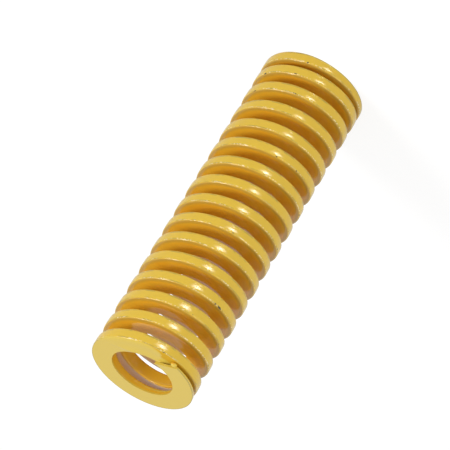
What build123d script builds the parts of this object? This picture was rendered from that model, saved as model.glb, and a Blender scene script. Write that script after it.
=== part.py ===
from build123d import *
from build123d.topology import SkipClean
from dataclasses import dataclass
from math import cos, radians, sin
import os

# A die spring: one coil of rectangular wire, wound right-handed, its two ends
# closed down towards the next coil and ground flat. It stands on its lower end
# on the XY plane, with its axis on Z. Lengths are in millimetres.

# Coil
outside_diameter = 22.0
inside_diameter = 13.2
free_length = 75.0
total_turns = 16.58
top_tip_angle = -122.7  # degrees round the axis, where the wire ends at the top

# Wire
wire_height = 2.35  # along the axis
edge_bevel = 0.35  # on the two outer edges

# Upper end: wound close over a part turn, then opened out quickly
top_closed_turns = 0.43
top_opening_turns = 0.65
top_tip_gap = 0.46  # from the wire's tip to the coil below it
top_tip_thickness = 0.56  # of wire left at the tip by the grinding

# Lower end: opened out slowly, from the tip on
bottom_closed_turns = 0.0
bottom_opening_turns = 3.0
bottom_tip_gap = 0.48
bottom_tip_thickness = 0.21

# Making
grinding_stock = 0.3  # wound outside both walls, and cut back to size
points_per_turn = 24
spans_per_turn = 2


@dataclass
class End:
    """How the wire closes at one end of the spring."""

    closed_turns: float
    opening_turns: float
    tip_gap: float
    tip_thickness: float

    def closing(self, turns):
        """Sum of the closing over the first turns from the tip: 1 per turn while fully closed."""
        if turns <= self.closed_turns:
            return turns
        x = min((turns - self.closed_turns) / self.opening_turns, 1)
        return self.closed_turns + self.opening_turns * (x - x**3 + x**4 / 2)

    def reach(self):
        """Full turns at the end pitch that take as much off the pitch as this end does."""
        return (self.closed_turns + self.opening_turns / 2) / self.closing(1)

    def end_pitch(self):
        """Pitch at the tip, which brings the tip to its gap above the next coil."""
        first_turn = self.closing(1)
        return (wire_height + self.tip_gap - coil_pitch * (1 - first_turn)) / first_turn


top = End(top_closed_turns, top_opening_turns, top_tip_gap, top_tip_thickness)
bottom = End(bottom_closed_turns, bottom_opening_turns, bottom_tip_gap, bottom_tip_thickness)

# The free coils share what height the two ends leave
wound_height = free_length + wire_height - top_tip_thickness - bottom_tip_thickness
end_heights = top.reach() * (wire_height + top_tip_gap) + bottom.reach() * (wire_height + bottom_tip_gap)
coil_pitch = (wound_height - end_heights) / (total_turns - top.reach() - bottom.reach())


def centre_height(turn):
    """Height of the wire's centre line, a number of turns down from the top tip."""
    at_top = top.closing(turn)
    at_bottom = bottom.closing(total_turns) - bottom.closing(total_turns - turn)
    drop = coil_pitch * (turn - at_top - at_bottom)
    drop += top.end_pitch() * at_top + bottom.end_pitch() * at_bottom
    return free_length - top_tip_thickness + wire_height / 2 - drop


def wire_point(turn, radius, rise):
    angle = radians(top_tip_angle - 360 * turn)
    return Vector(radius * cos(angle), radius * sin(angle), centre_height(turn) + rise)


def wire_direction(turn, radius):
    step = 1e-4
    return (wire_point(turn + step, radius, 0) - wire_point(turn - step, radius, 0)).normalized()


def corner_line(start, end, radius, rise):
    """The line that one corner of the wire's section follows over a span of turns."""
    steps = round(points_per_turn * (end - start))
    turns = [start + (end - start) * k / steps for k in range(steps + 1)]
    points = [wire_point(turn, radius, rise) for turn in turns]
    ends = [wire_direction(start, radius), wire_direction(end, radius)]
    return Spline(points, tangents=ends)


def section_corners():
    """Radius and rise of each corner of the wound wire, with its grinding stock."""
    half = wire_height / 2
    inner = inside_diameter / 2 - grinding_stock
    outer = outside_diameter / 2 + grinding_stock
    bevel_start = outside_diameter / 2 - edge_bevel
    bevel_end = half - edge_bevel - grinding_stock
    lower = [(inner, -half), (bevel_start, -half), (outer, -bevel_end)]
    upper = [(outer, bevel_end), (bevel_start, half), (inner, half)]
    return lower + upper


def wound_wire():
    """The wire as wound, in spans of ruled strips between its corner lines."""
    corners = section_corners()
    spans = round(total_turns * spans_per_turn)
    faces = []
    for k in range(spans):
        start = total_turns * k / spans
        end = total_turns * (k + 1) / spans
        lines = [corner_line(start, end, radius, rise) for radius, rise in corners]
        following = lines[1:] + lines[:1]
        faces += [Face.make_surface_from_curves(a, b) for a, b in zip(lines, following)]
        if k == 0:
            faces.append(Face(Wire.make_polygon([line @ 0 for line in lines])))
        if k == spans - 1:
            faces.append(Face(Wire.make_polygon([line @ 1 for line in lines])))
    return Solid(Shell(faces))


def quartered_circle(diameter):
    return Wire([CenterArc((0, 0), diameter / 2, 90 * k, 90) for k in range(4)])


def finished_envelope():
    """The tube that holds the finished spring, its walls in quarter turns."""
    ring = Face(quartered_circle(outside_diameter), [quartered_circle(inside_diameter)])
    return extrude(ring, amount=free_length, dir=(0, 0, 1), clean=False)


def die_spring():
    """The wound wire, sized to its diameters and ground flat at both ends."""
    with SkipClean():  # keeps the walls in quarter turns
        spring = finished_envelope() & wound_wire()
    return spring.solids()[0]


os.makedirs("parts", exist_ok=True)
spring = die_spring()
spring.label = "die_spring"
export_step(spring, "parts/die_spring.step")
print(f"pitch {coil_pitch:.3f} mm, volume {spring.volume:.0f} mm3, valid {spring.is_valid}")
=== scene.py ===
import math

import bpy
from mathutils import Matrix, Vector


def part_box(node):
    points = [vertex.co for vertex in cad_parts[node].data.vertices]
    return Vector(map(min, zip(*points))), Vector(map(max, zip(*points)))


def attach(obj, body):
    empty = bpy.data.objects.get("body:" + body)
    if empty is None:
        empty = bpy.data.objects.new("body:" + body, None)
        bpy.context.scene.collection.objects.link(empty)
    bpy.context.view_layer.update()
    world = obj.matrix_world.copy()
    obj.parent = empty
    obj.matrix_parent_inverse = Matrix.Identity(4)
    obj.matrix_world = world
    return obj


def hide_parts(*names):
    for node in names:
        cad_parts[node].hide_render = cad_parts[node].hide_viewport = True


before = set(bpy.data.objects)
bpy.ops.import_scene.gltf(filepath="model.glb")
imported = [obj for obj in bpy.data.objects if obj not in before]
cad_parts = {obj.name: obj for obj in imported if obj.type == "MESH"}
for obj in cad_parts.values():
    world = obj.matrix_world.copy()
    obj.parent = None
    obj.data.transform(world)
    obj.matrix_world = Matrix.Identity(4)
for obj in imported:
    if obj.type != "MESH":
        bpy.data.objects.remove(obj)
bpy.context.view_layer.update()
print("frame loaded")

springLow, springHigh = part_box("die_spring")
tiny = 1e-6  # lengths this close are the same


def pickNothing():
    if bpy.context.mode != "OBJECT":
        bpy.ops.object.mode_set(mode="OBJECT")
    bpy.ops.object.select_all(action="DESELECT")


def makeActive(obj):
    pickNothing()
    obj.select_set(True)
    bpy.context.view_layer.objects.active = obj


def useModifier(obj, kind, **settings):
    makeActive(obj)
    modifier = obj.modifiers.new(kind.title(), kind)
    for name, value in settings.items():
        setattr(modifier, name, value)
    bpy.ops.object.modifier_apply(modifier=modifier.name)


def aroundAxis(radius, angle, height=0):
    return Vector((radius * math.cos(angle), radius * math.sin(angle), height))


# The coil: sizes in metres, turns counted down from the top tip
coil = {
    "outerRadius": springHigh.x,
    "boreRadius": 0.0066,
    "length": springHigh.z,
    "turns": 16.58,
    "tipAngle": math.radians(-122.7),
    "wireHeight": 0.00235,
    "stepsPerTurn": 96,
}

# Coiling thins the wire towards the outside and thickens it towards the bore
wireSection = {
    "topCorner": 0.00034,
    "bottomCorner": 0.00016,
    "innerCorner": 0.0003,
    "cornerSegments": 4,
    "wallCuts": 5,
    "flankCuts": 9,
    "shortestFlat": 0.0006,
    "crown": 0.00004,  # of the outer face
    "topDrop": 0.00017,
    "bottomDrop": 0.00007,
    "shoulderWidth": 0.0011,
    "innerRise": 0.00025,
    "curve": 1.5,
    "clearance": 0.00002,  # keeps the enamel's bumps inside the outline
}

# closedTurns are wound close and the coil opens over openingTurns; tipGap is from the
# tip to the next coil, and tipThickness is what the grinding leaves of the tip
topEnd = {"closedTurns": 0.43, "openingTurns": 0.65, "tipGap": 0.00046, "tipThickness": 0.00056}
bottomEnd = {"closedTurns": 0.0, "openingTurns": 3.0, "tipGap": 0.00048, "tipThickness": 0.00021}

# The top tip runs on by leadTurns and is sheared off aslant between two corners (radius, angle)
tip = {
    "leadTurns": 0.085,
    "shearedTurns": 0.15,
    "innerCorner": (0.0066, math.radians(261.5)),
    "outerCorner": (0.011, math.radians(240.6)),
}


def closing(end, turns):
    if turns <= end["closedTurns"]:
        return turns
    x = min((turns - end["closedTurns"]) / end["openingTurns"], 1)
    return end["closedTurns"] + end["openingTurns"] * (x - x**3 + x**4 / 2)


def reach(end):
    return (end["closedTurns"] + end["openingTurns"] / 2) / closing(end, 1)


def freePitch():
    ends = (topEnd, bottomEnd)
    wound = coil["length"] + coil["wireHeight"] - sum(end["tipThickness"] for end in ends)
    held = sum(reach(end) * (coil["wireHeight"] + end["tipGap"]) for end in ends)
    return (wound - held) / (coil["turns"] - sum(reach(end) for end in ends))


coil["pitch"] = freePitch()


def endPitch(end):
    first = closing(end, 1)
    return (coil["wireHeight"] + end["tipGap"] - coil["pitch"] * (1 - first)) / first


def centreHeight(turn):
    atTop = closing(topEnd, turn)
    atBottom = closing(bottomEnd, coil["turns"]) - closing(bottomEnd, coil["turns"] - turn)
    drop = coil["pitch"] * (turn - atTop - atBottom)
    drop += endPitch(topEnd) * atTop + endPitch(bottomEnd) * atBottom
    return coil["length"] - topEnd["tipThickness"] + coil["wireHeight"] / 2 - drop


def roundCorner(wire, wall, height, radius):
    bpy.ops.object.mode_set(mode="EDIT")
    bpy.ops.mesh.select_mode(type="VERT")
    bpy.ops.mesh.select_all(action="DESELECT")
    bpy.ops.object.mode_set(mode="OBJECT")
    for vertex in wire.data.vertices:
        vertex.select = abs(vertex.co.x - wall) < tiny and abs(vertex.co.z - height) < tiny
    bpy.ops.object.mode_set(mode="EDIT")
    bpy.ops.mesh.bevel(offset=radius, segments=wireSection["cornerSegments"], affect="VERTICES")


def cutFlats(wire, cuts, wanted):
    bpy.ops.mesh.select_all(action="DESELECT")
    bpy.ops.mesh.select_mode(type="EDGE")
    bpy.ops.object.mode_set(mode="OBJECT")
    for edge in wire.data.edges:
        a, b = (wire.data.vertices[k].co for k in edge.vertices)
        edge.select = (a - b).length > wireSection["shortestFlat"] and wanted(a, b)
    bpy.ops.object.mode_set(mode="EDIT")
    bpy.ops.mesh.subdivide(number_cuts=cuts)


def swellSection(wire, inner, outer):
    half = coil["wireHeight"] / 2
    middle = (outer + inner) / 2
    for vertex in wire.data.vertices:
        x, _, z = vertex.co
        share = max(1 - (outer - x) / wireSection["shoulderWidth"], 0)
        drop = wireSection["topDrop" if z > 0 else "bottomDrop"] * share ** wireSection["curve"]
        inwards = max((middle - x) / (middle - inner), 0)
        rise = wireSection["innerRise"] * inwards ** wireSection["curve"]
        vertex.co.z *= 1 + (rise - drop) / half
        if x > middle:
            vertex.co.x -= wireSection["crown"] * (z / half) ** 2 * share


def makeSection():
    outer = coil["outerRadius"] - wireSection["clearance"]
    inner = coil["boreRadius"] + wireSection["clearance"]
    half = coil["wireHeight"] / 2
    middle = ((outer + inner) / 2, 0, 0)
    bpy.ops.mesh.primitive_plane_add(size=1, location=middle, rotation=(math.pi / 2, 0, 0))
    wire = bpy.context.object
    wire.name = "enamelledCoil"
    wire.dimensions = (outer - inner, coil["wireHeight"], 0)
    bpy.ops.object.transform_apply(location=True, rotation=True, scale=True)

    roundCorner(wire, outer, half, wireSection["topCorner"])
    roundCorner(wire, outer, -half, wireSection["bottomCorner"])
    roundCorner(wire, inner, half, wireSection["innerCorner"])
    roundCorner(wire, inner, -half, wireSection["innerCorner"])
    bpy.ops.mesh.select_all(action="SELECT")
    bpy.ops.mesh.delete(type="ONLY_FACE")
    cutFlats(wire, wireSection["wallCuts"], lambda a, b: abs(a.x - b.x) < tiny)
    cutFlats(wire, wireSection["flankCuts"], lambda a, b: abs(a.z - b.z) < tiny)
    bpy.ops.object.mode_set(mode="OBJECT")
    swellSection(wire, inner, outer)
    return wire


def windWire(wire):
    turns = coil["turns"] + tip["leadTurns"]
    start = coil["tipAngle"] + 2 * math.pi * tip["leadTurns"]
    steps = round(coil["stepsPerTurn"] * turns)
    wire.data.transform(Matrix.Rotation(start, 4, "Z"))
    useModifier(
        wire, "SCREW", axis="Z", angle=-2 * math.pi * turns, screw_offset=-coil["pitch"] * turns,
        steps=steps, render_steps=steps, use_smooth_shade=True)

    # The pitch is even so far: each point is let down to the coil's own height
    aboveHere = wire.data.attributes.new("above", "FLOAT", "POINT")  # from the wire's middle
    turnHere = wire.data.attributes.new("turn", "FLOAT", "POINT")
    for vertex in wire.data.vertices:
        x, y, z = vertex.co
        part = ((coil["tipAngle"] - math.atan2(y, x)) / (2 * math.pi)) % 1
        even = -z / coil["pitch"] - tip["leadTurns"]
        turn = part + round(even - part)
        above = (even - turn) * -coil["pitch"]
        vertex.co.z = centreHeight(min(turn, coil["turns"])) + above
        aboveHere.data[vertex.index].value = above
        turnHere.data[vertex.index].value = turn


def closeEnds(wire):
    makeActive(wire)
    bpy.ops.object.mode_set(mode="EDIT")
    bpy.ops.mesh.select_mode(type="EDGE")
    bpy.ops.mesh.select_all(action="SELECT")
    bpy.ops.mesh.fill_holes(sides=0)
    bpy.ops.mesh.select_all(action="SELECT")
    bpy.ops.mesh.normals_make_consistent(inside=False)


def cutOff(place, outward):
    bpy.ops.mesh.bisect(
        plane_co=place, plane_no=outward, use_fill=True, clear_outer=True, threshold=tiny / 10)


def selectLead(wire):
    bpy.ops.mesh.select_mode(type="FACE")
    bpy.ops.mesh.select_all(action="DESELECT")
    bpy.ops.object.mode_set(mode="OBJECT")
    turns = [item.value for item in wire.data.attributes["turn"].data]
    for face in wire.data.polygons:
        face.select = all(turns[k] < tip["shearedTurns"] for k in face.vertices)
    bpy.ops.object.mode_set(mode="EDIT")


def shearTip(wire):
    inner, outer = aroundAxis(*tip["innerCorner"]), aroundAxis(*tip["outerCorner"])
    outward = (outer - inner).cross(Vector((0, 0, 1)))
    if outward.dot(Vector((-inner.y, inner.x, 0))) < 0:
        outward.negate()
    selectLead(wire)
    cutOff(inner, outward)


def grindEnds(wire):
    for height, outward in ((coil["length"], (0, 0, 1)), (0, (0, 0, -1))):
        bpy.ops.mesh.select_all(action="SELECT")
        cutOff((0, 0, height), outward)
    bpy.ops.object.mode_set(mode="OBJECT")
    for vertex in wire.data.vertices:
        vertex.co.z = min(max(vertex.co.z, 0), coil["length"])


wire = makeSection()
windWire(wire)
closeEnds(wire)
shearTip(wire)
grindEnds(wire)
print("coil wound, sheared and ground:", len(wire.data.polygons), "faces")


# A bead of paint hangs on the tip, this far below the ground face
bead = {
    "size": 0.0006,
    "radius": 0.01042,
    "angle": math.radians(245.2),
    "depth": 0.00046,
    "stretch": (1.25, 0.9, 0.85),
    "unevenness": 0.00007,
    "seed": 4,
}


def addBead():
    place = aroundAxis(bead["radius"], bead["angle"], coil["length"] - bead["depth"])
    bpy.ops.mesh.primitive_ico_sphere_add(subdivisions=2, radius=bead["size"], location=place)
    drop = bpy.context.object
    bpy.ops.object.mode_set(mode="EDIT")
    bpy.ops.mesh.select_all(action="SELECT")
    bpy.ops.transform.resize(value=bead["stretch"])
    bpy.ops.transform.vertex_random(offset=bead["unevenness"], seed=bead["seed"])
    bpy.ops.object.mode_set(mode="OBJECT")
    bpy.ops.object.transform_apply(location=True, rotation=True, scale=True)
    useModifier(drop, "SUBSURF", levels=2, render_levels=2)
    return drop


drop = addBead()
makeActive(wire)
drop.select_set(True)
bpy.ops.object.join()
makeActive(wire)
bpy.ops.object.shade_smooth_by_angle(angle=math.radians(35))
print("bead of paint added")


# The enamel's colours and skin
enamel = {
    "colour": (0.73, 0.41, 0.026, 1),
    "deepColour": (0.72, 0.37, 0.020, 1),  # where the coat lies thicker
    # Painted shade: the upper flanks just in from the outer face are drawn in a darker brown
    "shadedShoulderColour": (0.50, 0.30, 0.040, 1),
    # Painted light: the outer faces get a yellower copy of the enamel, standing in for the full
    # light they face while the flanks glow orange with light bounced between the coils
    "litOuterColour": (0.69, 0.455, 0.034, 1),
    # Painted sheen: the ground ends and the flanks just below them get a paler enamel, standing in
    # for the sheen and full light of the open end
    "groundSheenColour": (0.69, 0.50, 0.07, 1),
    "patchShadeColour": (0.62, 0.35, 0.001, 1),  # painted shade: a darker orange where the unground surface slopes away beside the tip
    "thinColour": (0.30, 0.24, 0.05, 1),  # steel shows through at the sharpest edges
    # Painted highlights: pale cream sparkles along the upper outer edges stand in for glints on
    # the rough enamel
    "sparkleHighlightColour": (0.95, 0.82, 0.5, 1),
    "chipColour": (0.07, 0.045, 0.02, 1),
    "roughness": 0.11,
    "patchRoughness": 0.75,
    "rippleScale": 260,
    "rippleDepth": 0.00002,
    "edgeGrainScale": 2400,
    "edgeGrainDepth": 0.00012,
    "thicknessScale": 140,
    "thickness": (0.4, 0.65),
}

# Wear along the edges, and painted sparkle highlights on them: noise scales, the band of the noise
# that shows, and shares
wearAndSparkle = {
    "chipScale": 700,
    "chipPatchScale": 90,
    "chipPatchShare": 0.5,
    "chipAmount": 0.96,
    "chipSoftness": 0.03,
    "chipEdge": (0.4, 0.7),
    "thinScale": 420,
    "thin": (0.42, 0.62),
    "thinShare": 0.55,
    # the speck entries place the painted sparkle highlights
    "speckScale": 2600,
    "speck": (0.5, 0.6),
    "speckPatchScale": 200,
    "speckPatch": (0.4, 0.6),
    "speckShare": 0.65,
    "sharpEdge": (0.6, 0.9),
    "rimShare": 0.6,
}

# Where each finish lies: a mask is nothing at its first distance and full at its second
masks = {
    "outerFace": (0.00025, 0.00008),  # in from the outside
    # where the painted shade of the upper flanks lies
    "shadedShoulder": (0.0012, 0.0004),
    # patchWidth, patchStart and patchEnd place the painted shade beside the tip
    "patchWidth": (0.002, 0.0018),
    "groundFace": (0.0004, 0.00025),  # in from the spring's end
    # the painted sheen of the ground ends reaches this far down the flanks
    "nearEndSheen": (0.00115, 0.00105),
    "patchStart": (0.00068, 0.00072),
    "patchEnd": (0.0014, 0.0011),
    "rim": (0.00022, 0.0001),  # from the end's outer rim
    "flank": (0.0007, 0.0009),  # up or down from the wire's middle
    "upper": (0, 0.0004),
    "edge": (0.0004, 0),  # from the wire's outer corners
}


def newGroup(name, inputs, outputs):
    group = bpy.data.node_groups.new(name, "ShaderNodeTree")
    for title, kind, value in inputs:
        socket = group.interface.new_socket(title, in_out="INPUT", socket_type=kind)
        if value is not None:
            socket.default_value = value
    for title in outputs:
        group.interface.new_socket(title, in_out="OUTPUT", socket_type="NodeSocketFloat")
    given, out = group.nodes.new("NodeGroupInput"), group.nodes.new("NodeGroupOutput")
    return group, given.outputs, out.inputs


def feed(tree, socket, value):
    if isinstance(value, (int, float, tuple)):
        socket.default_value = value
    else:
        tree.links.new(value, socket)


def addNoise(tree, place, scale, detail, roughness=0.5):
    noise = tree.nodes.new("ShaderNodeTexNoise")
    feed(tree, noise.inputs["Vector"], place)
    feed(tree, noise.inputs["Scale"], scale)
    feed(tree, noise.inputs["Detail"], detail)
    feed(tree, noise.inputs["Roughness"], roughness)
    return noise.outputs["Fac"]


def addMath(tree, operation, *values):
    step = tree.nodes.new("ShaderNodeMath")
    step.operation = operation
    for k, value in enumerate(values):
        feed(tree, step.inputs[k], value)
    return step.outputs[0]


def addProduct(tree, first, *others):
    for other in others:
        first = addMath(tree, "MULTIPLY", first, other)
    return first


def addRange(tree, value, ends):
    spread = tree.nodes.new("ShaderNodeMapRange")
    spread.interpolation_type = "SMOOTHSTEP"
    feed(tree, spread.inputs["Value"], value)
    feed(tree, spread.inputs["From Min"], ends[0])
    feed(tree, spread.inputs["From Max"], ends[1])
    return spread.outputs[0]


def addMix(tree, share, first, second):
    mix = tree.nodes.new("ShaderNodeMix")
    mix.data_type = "RGBA"
    feed(tree, mix.inputs["Factor"], share)
    feed(tree, mix.inputs[6], first)
    feed(tree, mix.inputs[7], second)
    return mix.outputs[2]


def addGroup(tree, group, **values):
    node = tree.nodes.new("ShaderNodeGroup")
    node.node_tree = group
    for name, value in values.items():
        feed(tree, node.inputs[name], value)
    return node.outputs


def makePaintSkin():
    group, given, out = newGroup(
        "paintSkin",
        [("place", "NodeSocketVector", None), ("edge", "NodeSocketFloat", 0.0),
         ("rippleDepth", "NodeSocketFloat", 0.00004), ("edgeGrain", "NodeSocketFloat", 0.00006)],
        ["height", "thickness"])
    place = given["place"]
    ripple = addNoise(group, place, enamel["rippleScale"], 2)
    ripple = addProduct(group, ripple, given["rippleDepth"])
    grain = addNoise(group, place, enamel["edgeGrainScale"], 2, 0.6)
    grain = addMath(group, "SUBTRACT", grain, 0.5)
    grain = addProduct(group, grain, given["edge"], given["edgeGrain"])
    feed(group, out["height"], addMath(group, "ADD", ripple, grain))
    thickness = addNoise(group, place, enamel["thicknessScale"], 3)
    feed(group, out["thickness"], addRange(group, thickness, enamel["thickness"]))
    return group


def makeCoilPlace():
    group, given, out = newGroup(
        "coilPlace",
        [("place", "NodeSocketVector", None), ("above", "NodeSocketFloat", 0.0),
         ("radius", "NodeSocketFloat", 0.011), ("length", "NodeSocketFloat", 0.075),
         ("halfHeight", "NodeSocketFloat", 0.00094)],
        ["outerFace", "groundFace", "rim", "edge", "upperEdge", "shadedShoulder", "shadedPatch"])
    place = group.nodes.new("ShaderNodeSeparateXYZ")
    feed(group, place.inputs[0], given["place"])
    x, y, z = place.outputs
    square = addMath(group, "MULTIPLY_ADD", y, y, addProduct(group, x, x))
    inwards = addMath(group, "SUBTRACT", given["radius"], addMath(group, "SQRT", square))
    outerFace = addRange(group, inwards, masks["outerFace"])
    flanks = addMath(group, "SUBTRACT", 1, outerFace)

    middle = addProduct(group, given["length"], 0.5)
    fromMiddle = addMath(group, "ABSOLUTE", addMath(group, "SUBTRACT", z, middle))
    fromEnd = addMath(group, "SUBTRACT", middle, fromMiddle)
    flat = addRange(group, fromEnd, masks["groundFace"])
    offCentre = addMath(group, "ABSOLUTE", given["above"])
    onFlank = addProduct(group, addRange(group, offCentre, masks["flank"]), flanks)
    # Painted sheen: the ground ends' pale colour carried down the flanks near the end
    nearEndSheen = addProduct(group, addRange(group, fromEnd, masks["nearEndSheen"]), onFlank)
    # Painted shade: a darker orange where the unground surface slopes away beside the tip
    shadedPatch = addProduct(
        group, addRange(group, fromEnd, masks["patchStart"]), onFlank,
        addRange(group, fromEnd, masks["patchEnd"]), addRange(group, inwards, masks["patchWidth"]))
    fromRim = addMath(group, "MAXIMUM", inwards, fromEnd)

    fromCorner = addMath(group, "SUBTRACT", offCentre, given["halfHeight"])
    fromCorner = addMath(group, "MAXIMUM", addMath(group, "ABSOLUTE", fromCorner), inwards)
    edge = addRange(group, fromCorner, masks["edge"])
    upper = addRange(group, given["above"], masks["upper"])
    # Painted shade: the upper flank just in from the outer face
    shadedShoulder = addProduct(group, addRange(group, inwards, masks["shadedShoulder"]), flanks, upper)

    feed(group, out["outerFace"], outerFace)
    feed(group, out["groundFace"], addMath(group, "MAXIMUM", flat, nearEndSheen))
    feed(group, out["rim"], addRange(group, fromRim, masks["rim"]))
    feed(group, out["edge"], edge)
    feed(group, out["upperEdge"], addProduct(group, edge, upper))
    feed(group, out["shadedShoulder"], shadedShoulder)
    feed(group, out["shadedPatch"], shadedPatch)
    return group


def makeEdgeWearAndSparkle():
    group, given, out = newGroup(
        "edgeWearAndSparkle",
        [("place", "NodeSocketVector", None), ("edge", "NodeSocketFloat", 0.0),
         ("upperEdge", "NodeSocketFloat", 0.0), ("amount", "NodeSocketFloat", 0.96)],
        ["chips", "thinCoat", "sparkleHighlights"])
    place, amount = given["place"], given["amount"]
    spots = addNoise(group, place, wearAndSparkle["chipScale"], 2)
    patches = addNoise(group, place, wearAndSparkle["chipPatchScale"], 2)
    spots = addMath(group, "ADD", spots, addProduct(group, patches, wearAndSparkle["chipPatchShare"]))
    full = addMath(group, "ADD", amount, wearAndSparkle["chipSoftness"])
    spots = addRange(group, spots, (amount, full))
    nearEdge = addRange(group, given["upperEdge"], wearAndSparkle["chipEdge"])
    feed(group, out["chips"], addProduct(group, spots, nearEdge))

    thin = addRange(group, addNoise(group, place, wearAndSparkle["thinScale"], 2), wearAndSparkle["thin"])
    sharpEdge = addRange(group, given["edge"], wearAndSparkle["sharpEdge"])
    feed(group, out["thinCoat"], addProduct(group, thin, sharpEdge))

    # Painted highlights: pale sparkles along the upper outer edges
    sparkleHighlights = addRange(group, addNoise(group, place, wearAndSparkle["speckScale"], 1), wearAndSparkle["speck"])
    patches = addNoise(group, place, wearAndSparkle["speckPatchScale"], 1)
    patches = addRange(group, patches, wearAndSparkle["speckPatch"])
    sharpEdge = addRange(group, given["upperEdge"], wearAndSparkle["sharpEdge"])
    feed(group, out["sparkleHighlights"], addProduct(group, sparkleHighlights, patches, sharpEdge))
    return group


def makeEnamel():
    material = bpy.data.materials.new("springEnamel")
    material.use_nodes = True
    tree = material.node_tree
    shader = tree.nodes["Principled BSDF"]
    place = tree.nodes.new("ShaderNodeTexCoord").outputs["Object"]
    above = tree.nodes.new("ShaderNodeAttribute")
    above.attribute_name = "above"

    cornerHeight = coil["wireHeight"] / 2 - wireSection["topDrop"] - wireSection["topCorner"] / 2
    on = addGroup(
        tree, makeCoilPlace(), place=place, above=above.outputs["Fac"],
        radius=coil["outerRadius"], length=coil["length"], halfHeight=cornerHeight)
    skin = addGroup(
        tree, makePaintSkin(), place=place, edge=on["edge"],
        rippleDepth=enamel["rippleDepth"], edgeGrain=enamel["edgeGrainDepth"])
    wornAndSparkling = addGroup(
        tree, makeEdgeWearAndSparkle(), place=place, edge=on["edge"], upperEdge=on["upperEdge"],
        amount=wearAndSparkle["chipAmount"])

    colour = addMix(tree, skin["thickness"], enamel["colour"], enamel["deepColour"])
    # painted shade on the upper flanks
    colour = addMix(tree, on["shadedShoulder"], colour, enamel["shadedShoulderColour"])
    # painted light: the yellower copy of the enamel on the outer faces
    colour = addMix(tree, on["outerFace"], colour, enamel["litOuterColour"])
    # painted sheen on the ground ends and the flanks near them
    colour = addMix(tree, on["groundFace"], colour, enamel["groundSheenColour"])
    # painted shade beside the tip
    colour = addMix(tree, on["shadedPatch"], colour, enamel["patchShadeColour"])
    thin = addProduct(tree, wornAndSparkling["thinCoat"], wearAndSparkle["thinShare"])
    thin = addMath(tree, "MAXIMUM", thin, addProduct(tree, on["rim"], wearAndSparkle["rimShare"]))
    colour = addMix(tree, thin, colour, enamel["thinColour"])
    # painted highlights: sparkles along the upper outer edges
    sparkleHighlights = addProduct(tree, wornAndSparkling["sparkleHighlights"], wearAndSparkle["speckShare"])
    colour = addMix(tree, sparkleHighlights, colour, enamel["sparkleHighlightColour"])
    colour = addMix(tree, wornAndSparkling["chips"], colour, enamel["chipColour"])
    feed(tree, shader.inputs["Base Color"], colour)

    duller = enamel["patchRoughness"] - enamel["roughness"]
    roughness = addMath(tree, "MULTIPLY_ADD", on["shadedPatch"], duller, enamel["roughness"])
    feed(tree, shader.inputs["Roughness"], roughness)
    bump = tree.nodes.new("ShaderNodeBump")
    feed(tree, bump.inputs["Distance"], 1)
    feed(tree, bump.inputs["Height"], skin["height"])
    feed(tree, shader.inputs["Normal"], bump.outputs["Normal"])
    return material


wire.data.materials.append(makeEnamel())
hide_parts("die_spring")
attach(wire, "root")
print("enamel on")


# Floor, room and lamps
studio = {
    "floorSize": 3.0,
    "floorColour": (0.9, 0.9, 0.9, 1),
    "floorRoughness": 0.9,
    "floorGlow": 1.1,
    "floorGlowShare": 0.75,  # the rest of what the camera sees keeps the shadow
    "room": 0.62,
    "roomInGloss": 0.75,
    "windowDirection": (-0.105, -0.89, -0.435),  # a small window shows in the outer faces
    "windowReach": (0.32, 0.1),
    "windowFade": 2.5,
    "windowStrength": 36,
    "aim": (0, 0, 0.03),
}

lamps = {
    "key": {"place": (0.48, -0.2, 0.64), "size": 0.3, "power": 3.2},
    "fill": {"place": (-0.55, -0.55, 0.24), "size": 0.45, "power": 1.5},
}


def makeFloor():
    bpy.ops.mesh.primitive_plane_add(size=studio["floorSize"], location=(0, 0, 0))
    floor = bpy.context.object
    floor.name = "floor"
    floor.visible_glossy = False
    material = bpy.data.materials.new("floorWhite")
    material.use_nodes = True
    tree = material.node_tree
    shader = tree.nodes["Principled BSDF"]
    feed(tree, shader.inputs["Base Color"], studio["floorColour"])
    feed(tree, shader.inputs["Roughness"], studio["floorRoughness"])
    feed(tree, shader.inputs["Specular IOR Level"], 0)
    glow = tree.nodes.new("ShaderNodeEmission")
    feed(tree, glow.inputs["Strength"], studio["floorGlow"])
    rays = tree.nodes.new("ShaderNodeLightPath")
    mix = tree.nodes.new("ShaderNodeMixShader")
    share = addProduct(tree, rays.outputs["Is Camera Ray"], studio["floorGlowShare"])
    feed(tree, mix.inputs[0], share)
    feed(tree, mix.inputs[1], shader.outputs[0])
    feed(tree, mix.inputs[2], glow.outputs[0])
    feed(tree, tree.nodes["Material Output"].inputs["Surface"], mix.outputs[0])
    floor.data.materials.append(material)


def addWindow(tree, glossy):
    # The window's own frame: its direction is the mapping's Z
    towards = Vector(studio["windowDirection"]).normalized()
    across = towards.cross(Vector((0, 0, 1))).normalized()
    turn = Matrix((across, towards.cross(across), towards)).transposed()
    window = tree.nodes.new("ShaderNodeMapping")
    window.vector_type = "TEXTURE"
    window.inputs["Location"].default_value = towards
    window.inputs["Rotation"].default_value = turn.to_euler()
    window.inputs["Scale"].default_value = (*studio["windowReach"], 1)
    pane = tree.nodes.new("ShaderNodeTexGradient")
    pane.gradient_type = "SPHERICAL"
    direction = tree.nodes.new("ShaderNodeTexCoord").outputs["Generated"]
    feed(tree, window.inputs["Vector"], direction)
    feed(tree, pane.inputs["Vector"], window.outputs["Vector"])
    light = addMath(tree, "POWER", pane.outputs["Fac"], studio["windowFade"])
    return addProduct(tree, light, studio["windowStrength"], glossy)


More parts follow.
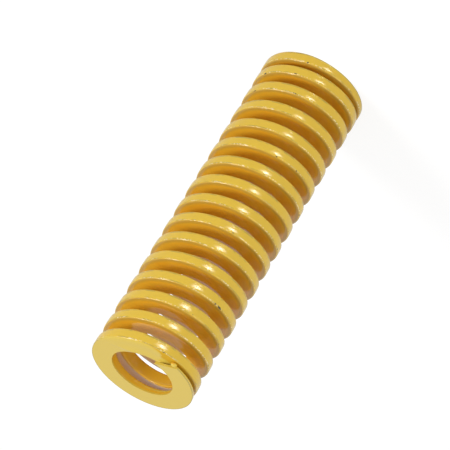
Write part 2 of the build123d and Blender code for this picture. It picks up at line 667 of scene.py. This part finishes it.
def makeWorld():
    world = bpy.data.worlds.new("whiteRoom")
    bpy.context.scene.world = world
    world.use_nodes = True
    tree = world.node_tree
    room = tree.nodes["Background"]
    feed(tree, room.inputs["Color"], (1, 1, 1, 1))
    rays = tree.nodes.new("ShaderNodeLightPath").outputs
    glossy = rays["Is Glossy Ray"]
    seen = addMath(tree, "MAXIMUM", rays["Is Camera Ray"], rays["Is Transmission Ray"])
    level = addMath(tree, "MULTIPLY_ADD", seen, 1 - studio["room"], studio["room"])
    extra = studio["roomInGloss"] - studio["room"]
    level = addMath(tree, "MULTIPLY_ADD", glossy, extra, level)
    level = addMath(tree, "ADD", level, addWindow(tree, glossy))
    feed(tree, room.inputs["Strength"], level)


def addLamp(name):
    place = Vector(lamps[name]["place"])
    bpy.ops.object.light_add(type="AREA", location=place)
    lamp = bpy.context.object
    lamp.name = name
    lamp.data.shape = "DISK"
    lamp.data.size = lamps[name]["size"]
    lamp.data.energy = lamps[name]["power"]
    lamp.rotation_euler = (Vector(studio["aim"]) - place).to_track_quat("-Z", "Y").to_euler()


# The camera looks at the spring's middle, set aside by right and up
cameraLook = {
    "elevation": math.radians(28.423),
    "roll": math.radians(149.009),
    "distance": 0.70356,
    "right": 0.00095656,
    "up": -0.00039864,
    "lens": 284.148696,
    "sensor": 36,
    "clip": (0.01, 10),
}


def makeCamera():
    bpy.ops.object.camera_add()
    camera = bpy.context.object
    camera.name = "camera"
    elevation, roll = cameraLook["elevation"], cameraLook["roll"]
    back = Vector((0, -math.cos(elevation), math.sin(elevation)))
    levelRight = Vector((1, 0, 0))
    levelUp = back.cross(levelRight)
    right = levelRight * math.cos(roll) - levelUp * math.sin(roll)
    up = levelRight * math.sin(roll) + levelUp * math.cos(roll)
    aim = Vector((0, 0, coil["length"] / 2)) - right * cameraLook["right"] - up * cameraLook["up"]
    camera.matrix_world = Matrix((right, up, back)).transposed().to_4x4()
    camera.location = aim + back * cameraLook["distance"]
    camera.data.sensor_width = cameraLook["sensor"]
    camera.data.lens = cameraLook["lens"]
    camera.data.clip_start, camera.data.clip_end = cameraLook["clip"]
    bpy.context.scene.camera = camera


makeFloor()
makeWorld()
addLamp("key")
addLamp("fill")
makeCamera()
bpy.context.scene.view_settings.view_transform = "Standard"
print("studio ready")
